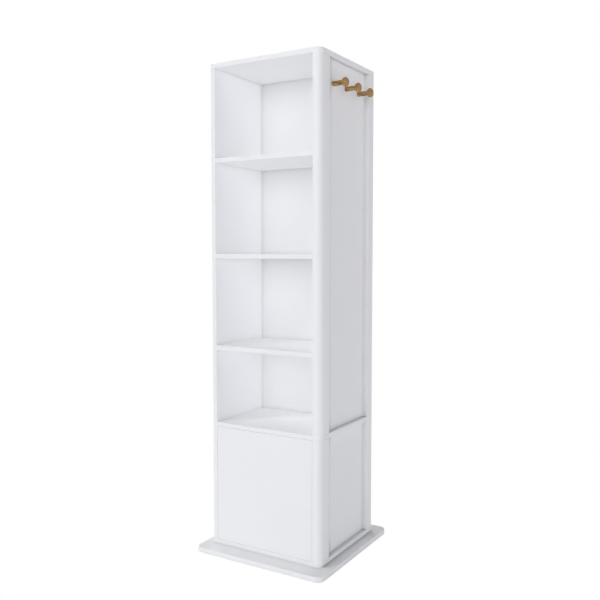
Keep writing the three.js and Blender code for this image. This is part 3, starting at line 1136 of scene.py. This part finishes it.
@dataclass
class Carcass:
    """The tower's boards, posts, panels and backs."""

    corner_radius: float = 20 * MM
    corner_steps: int = 24
    board_edge: float = 1.4 * MM
    panel_edge: float = 0.6 * MM
    pivot_hole_radius: float = 3.3 * MM
    bolt_hole_radius: float = 2.4 * MM
    pilot_radius: float = 1.8 * MM
    peg_hole_radius: float = 5.0 * MM
    extra: float = 0.3 * MM
    plain_panels: tuple[str, ...] = (
        "lower_side_panel",
        "upper_inner_back",
        "lower_inner_back",
        "upper_outer_back",
        "lower_outer_back",
    )

    def outline(self, low: Vector, high: Vector, notch: Optional[Point2]) -> list[Point2]:
        """Draws the plan of a board or post whose front right corner is round.

        Args:
            low: its lowest corner.
            high: its highest corner.
            notch: where the rear stile's inner front corner cuts into it, or None.

        Returns:
            The plan, anticlockwise.
        """
        r = self.corner_radius
        points = [(low.x, low.y)]
        points += arc((high.x - r, low.y + r), r, -90, 0, self.corner_steps)
        if notch:
            points += [(high.x, notch[1]), notch, (notch[0], high.y)]
        else:
            points.append((high.x, high.y))
        points.append((low.x, high.y))
        return points

    def rounded(
        self, shop: Workshop, node: str, holes: Sequence[Shape] = (), notch: Optional[Point2] = None
    ) -> None:
        """Makes a board or post with the round front corner.

        Args:
            shop: the workshop.
            node: the CAD node that it stands for.
            holes: shapes to cut out of it.
            notch: where the rear stile's inner front corner cuts into it, or None.
        """
        low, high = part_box(node)
        shape = prism(self.outline(low, high, notch), low.z, high.z)
        ease_edges(shape, self.board_edge)
        shop.make(node, shape, Body.TOWER, Craft.LACQUERED, holes)

    def pivot_hole(self, node: str) -> Shape:
        """The hole that a pivot pin's stub stands in."""
        low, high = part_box(node)
        return hole_up(node, self.pivot_hole_radius, low.z - self.extra, high.z + self.extra)

    def bolt_holes(self) -> list[Shape]:
        """Makes the holes in the bottom board for the turntable's bolts.

        Returns:
            The cutters.
        """
        low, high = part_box("bottom_board")
        bolts = numbered("turntable_bolt", TURNTABLE_FIXINGS)
        return [hole_up(node, self.bolt_hole_radius, low.z - MM, high.z + MM) for node in bolts]

    def latch_pilots(self) -> list[Shape]:
        """Makes the pilot holes for the latch's screws.

        Returns:
            The cutters.
        """
        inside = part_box("lower_corner_post")[0].x
        holes = []
        for node in numbered("latch_screw", LATCH_SCREWS):
            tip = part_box(node)[1].x + self.extra
            holes.append(hole_across(node, self.pilot_radius, inside - MM, tip))
        return holes

    def peg_holes(self) -> list[Shape]:
        """Makes the holes that the pegs' tenons stand in.

        Returns:
            The cutters.
        """
        low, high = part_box("upper_side_panel")
        pegs = numbered("peg", PEG_COUNT)
        return [hole_across(node, self.peg_hole_radius, low.x - MM, high.x + MM) for node in pegs]

    def build(self, shop: Workshop) -> None:
        """Makes every board of the tower but the shelves.

        Args:
            shop: the workshop.
        """
        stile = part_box("rear_stile")[0]
        self.rounded(shop, "bottom_board", [*self.bolt_holes(), self.pivot_hole("pivot_pin_bottom")])
        self.rounded(shop, "mid_board", [self.pivot_hole("pivot_pin_top")], (stile.x, stile.y))
        self.rounded(shop, "top_board")
        self.rounded(shop, "upper_corner_post")
        self.rounded(shop, "lower_corner_post", self.latch_pilots())
        shop.board("left_side_panel", self.board_edge)
        shop.board("rear_stile", self.board_edge)
        shop.board("upper_side_panel", self.panel_edge, holes=self.peg_holes())
        for node in self.plain_panels:
            shop.board(node, self.panel_edge)


@dataclass
class Shelves:
    """The three shelves of the open bays."""

    count: int = 3
    edge: float = 1.0 * MM

    def build(self, shop: Workshop) -> None:
        """Makes the shelves.

        Args:
            shop: the workshop.
        """
        for node in numbered("shelf", self.count):
            shop.board(node, self.edge)


@dataclass
class Pegs:
    """The row of turned pegs on the side panel."""

    stem_radius: float = 8 * MM
    tenon_radius: float = 4.7 * MM
    chamfer: float = 0.5 * MM
    head_radius: float = 15.5 * MM
    head_half_length: float = 10.5 * MM
    head_steps: int = 28
    cove: float = 2.5 * MM
    cove_flare: float = 0.6
    cove_start: float = 1.6
    cove_bend: float = 0.1
    cove_steps: int = 8
    sides: int = 64

    def head(self, middle: float, angle: float) -> Point2:
        """A point of the oval head, by its angle above the head's widest ring."""
        return self.head_radius * math.cos(angle), middle + self.head_half_length * math.sin(angle)

    def profile(self, tenon: float, length: float) -> list[Point2]:
        """Draws the peg's half outline.

        Args:
            tenon: how deep the tenon goes into the panel.
            length: how far the peg stands out.

        Returns:
            Points of radius and distance from the panel.
        """
        points = [
            (0.0, -tenon),
            (self.tenon_radius - self.chamfer, -tenon),
            (self.tenon_radius, self.chamfer - tenon),
            (self.tenon_radius, 0.0),
            (self.stem_radius - self.chamfer, 0.0),
            (self.stem_radius, self.chamfer),
        ]
        middle = length - self.head_half_length
        low_angle = -math.acos((self.stem_radius + self.cove * self.cove_flare) / self.head_radius)
        neck = self.head(middle, low_angle)
        start = (self.stem_radius, neck[1] - self.cove * self.cove_start)
        bend = (self.stem_radius, neck[1] - self.cove * self.cove_bend)
        points += bent(start, bend, neck, self.cove_steps)
        rise = (math.pi / 2 - low_angle) / self.head_steps
        points += [self.head(middle, low_angle + rise * i) for i in range(1, self.head_steps)]
        points.append((0.0, length))
        return points

    def build(self, shop: Workshop) -> None:
        """Makes the pegs.

        Args:
            shop: the workshop.
        """
        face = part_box("upper_side_panel")[1].x
        for node in numbered("peg", PEG_COUNT):
            low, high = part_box(node)
            middle = centre(node)
            shape = turned(self.profile(face - low.x, high.x - face), self.sides)
            placed(shape, (face, middle.y, middle.z), Axis.RIGHT)
            shop.make(node, shape, Body.TOWER, Craft.TURNED)


@dataclass
class CupboardDoor:
    """The flush door, its bushings, its strike and the pins that it swings on."""

    edge: float = 1.2 * MM
    hole_radius: float = 5.0 * MM
    hole_extra: float = 0.4 * MM
    bushing_radius: float = 4.7 * MM
    bushing_bore: float = 3.3 * MM
    rim_ease: float = 0.3 * MM
    strike_bore: float = 1.2 * MM
    strike_sides: int = 48
    pin_radius: float = 3.0 * MM
    pin_ease: float = 0.4 * MM
    stub: float = 8.0 * MM
    collar_radius: float = 5.5 * MM
    collar_height: float = 0.7 * MM
    sides: int = 40

    def build(self, shop: Workshop) -> None:
        """Makes the door and its fittings.

        Args:
            shop: the workshop.
        """
        bushings = ("door_bushing_bottom", "door_bushing_top")
        shop.board("door", self.edge, Body.DOOR, [self.bushing_hole(node) for node in bushings])
        for node in bushings:
            self.bushing(shop, node)
        self.strike(shop)
        self.bottom_pin(shop)
        self.top_pin(shop)

    def bushing_hole(self, node: str) -> Shape:
        """The hole in the door around a bushing."""
        low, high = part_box(node)
        return hole_up(node, self.hole_radius, low.z - self.hole_extra, high.z + self.hole_extra)

    def bushing(self, shop: Workshop, node: str) -> None:
        """Makes one bushing with eased rims.

        Args:
            shop: the workshop.
            node: the CAD node that it stands for.
        """
        low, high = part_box(node)
        middle = centre(node)
        profile = [
            (self.bushing_bore, low.z),
            (self.bushing_radius - self.rim_ease, low.z),
            (self.bushing_radius, low.z + self.rim_ease),
            (self.bushing_radius, high.z - self.rim_ease),
            (self.bushing_radius - self.rim_ease, high.z),
            (self.bushing_bore, high.z),
        ]
        shape = placed(turned(profile, self.sides, closed=True), (middle.x, middle.y, 0))
        shop.make(node, shape, Body.DOOR, Craft.MOULDED)

    def strike(self, shop: Workshop) -> None:
        """Makes the round strike plate on the back of the door.

        Args:
            shop: the workshop.
        """
        low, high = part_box("latch_strike")
        middle = centre("latch_strike")
        thick = high.y - low.y
        radius = (high.x - low.x) / 2
        profile = [
            (self.strike_bore, -thick),
            (radius - self.rim_ease, -thick),
            (radius, self.rim_ease - thick),
            (radius, 0.0),
            (self.strike_bore, 0.0),
        ]
        shape = turned(profile, self.strike_sides, closed=True)
        placed(shape, (middle.x, low.y, middle.z), Axis.FORWARD)
        shop.make("latch_strike", shape, Body.DOOR, Craft.PLATED)

    def pin(self, length: float) -> Shape:
        """Turns one pivot pin along Z, with its collar's seat at zero and its stub below.

        Args:
            length: the pin's whole length.

        Returns:
            The pin.
        """
        top = length - self.stub
        profile = [
            (0.0, -self.stub),
            (self.pin_radius - self.pin_ease, -self.stub),
            (self.pin_radius, self.pin_ease - self.stub),
            (self.pin_radius, 0.0),
            (self.collar_radius, 0.0),
            (self.collar_radius, self.collar_height),
            (self.pin_radius, self.collar_height),
            (self.pin_radius, top - self.pin_ease),
            (self.pin_radius - self.pin_ease, top),
            (0.0, top),
        ]
        return turned(profile, self.sides)

    def bottom_pin(self, shop: Workshop) -> None:
        """Makes the pin that stands up out of the bottom board.

        Args:
            shop: the workshop.
        """
        low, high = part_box("pivot_pin_bottom")
        middle = centre("pivot_pin_bottom")
        shape = placed(self.pin(high.z - low.z), (middle.x, middle.y, low.z + self.stub))
        shop.make("pivot_pin_bottom", shape, Body.TOWER, Craft.PLATED)

    def top_pin(self, shop: Workshop) -> None:
        """Makes the pin that hangs down out of the mid board.

        Args:
            shop: the workshop.
        """
        low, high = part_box("pivot_pin_top")
        middle = centre("pivot_pin_top")
        shape = self.pin(high.z - low.z)
        shape.transform(Matrix.Rotation(math.pi, 4, "X"))
        placed(shape, (middle.x, middle.y, high.z - self.stub))
        shop.make("pivot_pin_top", shape, Body.TOWER, Craft.PLATED)


@dataclass
class PushLatch:
    """The push latch behind the door: a screwed housing with a spring plunger."""

    tall: float = 18 * MM
    body_edge: float = 0.8 * MM
    flange: float = 3 * MM
    flange_length: float = 22 * MM
    flange_edge: float = 0.6 * MM
    bore_radius: float = 4.5 * MM
    bore_floor: float = 4 * MM
    screw: Screw = Screw(3 * MM, 1.5 * MM, 1.8 * MM, 14 * MM)
    screw_hole_radius: float = 1.8 * MM
    plunger_radius: float = 4.0 * MM
    nose_radius: float = 1.2 * MM
    nose_steps: int = 6
    sides: int = 40

    def housing(self, shop: Workshop) -> None:
        """Makes the housing with its flange, bore and screw holes.

        Args:
            shop: the workshop.
        """
        low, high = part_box("latch_housing")
        middle = centre("latch_housing")
        body = prism(rectangle(low, high), middle.z - self.tall / 2, middle.z + self.tall / 2)
        ease_edges(body, self.body_edge)
        plan = rectangle((high.x - self.flange, low.y), (high.x, low.y + self.flange_length))
        flange = prism(plan, low.z, high.z)
        ease_edges(flange, self.flange_edge)
        axis = centre("latch_plunger")
        bore = drill(self.bore_radius, self.bore_floor - (high.y - low.y), MM)
        holes = [placed(bore, (axis.x, low.y, axis.z), Axis.FORWARD)]
        for node in numbered("latch_screw", LATCH_SCREWS):
            holes.append(hole_across(node, self.screw_hole_radius, high.x - self.flange - MM, high.x + MM))
        shop.make("latch_housing", body, Body.TOWER, Craft.MOULDED, holes, [flange])

    def plunger(self, shop: Workshop) -> None:
        """Makes the plunger with its rounded nose.

        Args:
            shop: the workshop.
        """
        low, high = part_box("latch_plunger")
        middle = centre("latch_plunger")
        length = high.y - low.y
        shoulder = (self.plunger_radius - self.nose_radius, -self.nose_radius)
        profile = [(0.0, -length), (self.plunger_radius, -length)]
        profile += arc(shoulder, self.nose_radius, 0, 90, self.nose_steps)
        profile.append((0.0, 0.0))
        shape = placed(turned(profile, self.sides), (middle.x, low.y, middle.z), Axis.FORWARD)
        shop.make("latch_plunger", shape, Body.PLUNGER, Craft.MOULDED)

    def build(self, shop: Workshop) -> None:
        """Makes the latch.

        Args:
            shop: the workshop.
        """
        self.housing(shop)
        self.plunger(shop)
        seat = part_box("latch_housing")[1].x - self.flange
        seats = {node: (seat, *centre(node).yz) for node in numbered("latch_screw", LATCH_SCREWS)}
        self.screw.fit(shop, seats, Body.TOWER, Matrix.Rotation(-math.pi / 2, 4, "Y"))


# ---- Studio ----


@dataclass(frozen=True)
class Glow:
    """A soft bright patch of the surroundings."""

    towards: Triple
    tightness: float
    strength: float


@dataclass(frozen=True)
class Beam:
    """A distant light, given by the way that its light travels, with its softness in degrees."""

    travel: Triple
    brightness: float
    softness: float = 6.0
    shadows: bool = True
    tint: Colour = DAYLIGHT


@dataclass
class Studio:
    """A plain white floor, soft light from all round and the camera."""

    azimuth: float = 30.96
    downward: float = 3.62
    camera_place: Triple = (0.79674, -1.30378, 0.61694)
    lens: float = 43.62
    sensor_width: float = 36.0
    sight: float = 100.0
    floor_size: float = 30.0
    floor_drop: float = 0.3 * MM
    floor_tone: Colour = (0.8, 0.8, 0.8)
    floor_roughness: float = 0.9
    floor_glow: float = 0.14
    tint: Colour = DAYLIGHT
    glows: tuple[Glow, ...] = (
        Glow((0.0, -1.0, 0.1), 24.0, 4.5),
        Glow((0.5, -0.86, 0.1), 24.0, 2.01),
        Glow((0.7, 0.7, 0.3), 4.0, 0.636),
        Glow((-0.7, 0.7, 0.3), 4.0, 0.4),
        Glow((-1.0, 0.0, 0.2), 4.0, 0.4),
    )
    beams: tuple[Beam, ...] = (
        Beam((0.64, 0.77, -0.7), 0.315, 16.0),
        Beam((0.8, -0.6, -0.8), 0.19),
        Beam((-1.0, 0.0, 0.0), 0.192, 0.0, False, (0.935, 0.942, 1.0)),
        Beam((0.0, 0.0, -1.0), 0.125, 0.0, False),
        Beam((0.0, 0.0, 1.0), 0.11, 0.0, False),
    )

    def build(self, height: float) -> None:
        """Sets up the studio.

        Args:
            height: the object's height in metres.
        """
        self.camera(height)
        self.floor()
        self.world()
        for number, beam in enumerate(self.beams, 1):
            self.hang(f"beam_{number}", beam)
        view = bpy.context.scene.view_settings
        view.view_transform = "Standard"
        view.look = "None"

    def camera(self, height: float) -> None:
        """Places the camera in front and to the right.

        Args:
            height: the object's height in metres.
        """
        data = bpy.data.cameras.new("camera")
        data.lens = self.lens
        data.sensor_width = self.sensor_width
        data.clip_end = self.sight
        made = bpy.data.objects.new("camera", data)
        made.location = Vector(self.camera_place) * height
        made.rotation_euler = (math.radians(90 - self.downward), 0.0, math.radians(self.azimuth))
        bpy.context.scene.collection.objects.link(made)
        bpy.context.scene.camera = made

    @staticmethod
    def seen_white(tree: bpy.types.NodeTree, lit: Socket, white: Socket, output: Socket) -> None:
        """Makes a surface look plain white from the camera while it lights everything else as itself.

        Args:
            tree: the nodes of the floor or the world.
            lit: the shader that everything else sees.
            white: the shader that the camera sees.
            output: where the result goes.
        """
        choice = tree.nodes.new("ShaderNodeMixShader")
        direct = tree.nodes.new("ShaderNodeLightPath").outputs["Is Camera Ray"]
        for source, target in ((direct, 0), (lit, 1), (white, 2)):
            tree.links.new(source, choice.inputs[target])
        tree.links.new(choice.outputs[0], output)

    def floor(self) -> None:
        """Lays a plain floor just under the base plate."""
        half = self.floor_size / 2
        shape = bmesh.new()
        corners = rectangle((-half, -half), (half, half))
        shape.faces.new([shape.verts.new((x, y, -self.floor_drop)) for x, y in corners])
        ground = as_object("studio_floor", shape)
        recipe = Recipe("white_floor")
        inputs = recipe.shader.inputs
        inputs["Base Color"].default_value = (*self.floor_tone, 1.0)
        inputs["Roughness"].default_value = self.floor_roughness
        inputs["Emission Color"].default_value = (*WHITE, 1.0)
        inputs["Emission Strength"].default_value = self.floor_glow
        white = recipe.node("ShaderNodeEmission").outputs[0]
        output = recipe.tree.nodes["Material Output"].inputs["Surface"]
        self.seen_white(recipe.tree, recipe.shader.outputs[0], white, output)
        ground.data.materials.append(recipe.material)
        ground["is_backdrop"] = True

    def world(self) -> None:
        """Surrounds the studio with the glows, on a backdrop that looks plain white."""
        world = bpy.data.worlds.new("studio")
        world.use_nodes = True
        tree = world.node_tree
        around = tree.nodes.new("ShaderNodeTexCoord").outputs["Generated"]
        total: Optional[Socket] = None
        for glow in self.glows:
            value = self.patch(tree, around, glow)
            total = value if total is None else Arithmetic.ADD.node(tree, total, value)
        soft = tree.nodes["Background"]
        soft.inputs["Color"].default_value = (*self.tint, 1.0)
        tree.links.new(total, soft.inputs["Strength"])
        white = tree.nodes.new("ShaderNodeBackground")
        white.inputs["Color"].default_value = (*WHITE, 1.0)
        output = tree.nodes["World Output"].inputs["Surface"]
        self.seen_white(tree, soft.outputs[0], white.outputs[0], output)
        bpy.context.scene.world = world

    @staticmethod
    def patch(tree: bpy.types.NodeTree, around: Socket, glow: Glow) -> Socket:
        """Adds the brightness of one glow.

        Args:
            tree: the world's nodes.
            around: the direction that is looked along.
            glow: the glow.

        Returns:
            Its brightness in that direction.
        """
        facing = tree.nodes.new("ShaderNodeVectorMath")
        facing.operation = "DOT_PRODUCT"
        facing.inputs[1].default_value = Vector(glow.towards).normalized()
        tree.links.new(around, facing.inputs[0])
        value = Arithmetic.AT_LEAST.node(tree, facing.outputs["Value"], 0.0)
        value = Arithmetic.POWER.node(tree, value, glow.tightness)
        return Arithmetic.TIMES.node(tree, value, glow.strength)

    def hang(self, name: str, beam: Beam) -> None:
        """Hangs one distant light.

        Args:
            name: the light's name.
            beam: its direction and brightness.
        """
        data = bpy.data.lights.new(name, "SUN")
        data.energy = math.pi * beam.brightness
        data.angle = math.radians(beam.softness)
        data.use_shadow = beam.shadows
        data.color = beam.tint
        made = bpy.data.objects.new(name, data)
        made.rotation_euler = Vector(beam.travel).to_track_quat("-Z", "Y").to_euler()
        bpy.context.scene.collection.objects.link(made)


def flat_bounds(bounds: Iterable[Iterable[float]]) -> list[list[float]]:
    """A box as plain lists of numbers."""
    return [[float(c) for c in corner] for corner in bounds]


def main() -> None:
    """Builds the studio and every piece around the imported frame."""
    logging.basicConfig(level=logging.INFO, format="%(name)s: %(message)s")
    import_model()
    cad_box = flat_bounds(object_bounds())
    shop = Workshop.open()
    for part in (BasePlate(), Turntable(), Carcass(), Shelves(), Pegs(), CupboardDoor(), PushLatch()):
        part.build(shop)
    Studio().build(cad_box[1][2] - cad_box[0][2])
    log.info("%d pieces finished", shop.pieces)


if __name__ == "__main__":
    main()
